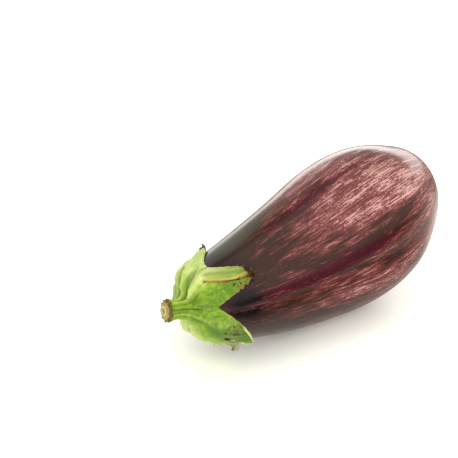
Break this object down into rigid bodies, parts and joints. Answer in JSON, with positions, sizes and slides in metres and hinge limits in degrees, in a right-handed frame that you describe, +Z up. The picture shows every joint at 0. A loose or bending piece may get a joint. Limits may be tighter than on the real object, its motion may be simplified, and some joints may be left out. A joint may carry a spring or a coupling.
{
  "type": "striped eggplant",
  "caption": "Fresh eggplant lying on its belly: a curved purple fruit with pale dashes, narrower at the neck, under a lobed green calyx with its cut stem.",
  "frame": {"origin": "on the surface that the fruit lies on, under the middle of the part's box", "axes": "+X runs from the cut stem to the blossom end, +Z is up from the surface the fruit lies on"},
  "size_m": [0.1964, 0.085, 0.0909],
  "materials": {
    "fruit_skin": "waxy, glossy purple-brown skin with pinkish cream dashes along the fruit",
    "calyx_green": "satin light green, browner at the lobes' dried tips and tan at the stem's cut end"
  },
  "bodies": {
    "root": {"fruit": "fruit_skin", "calyx_and_stem": "calyx_green"}
  },
  "joints": []
}
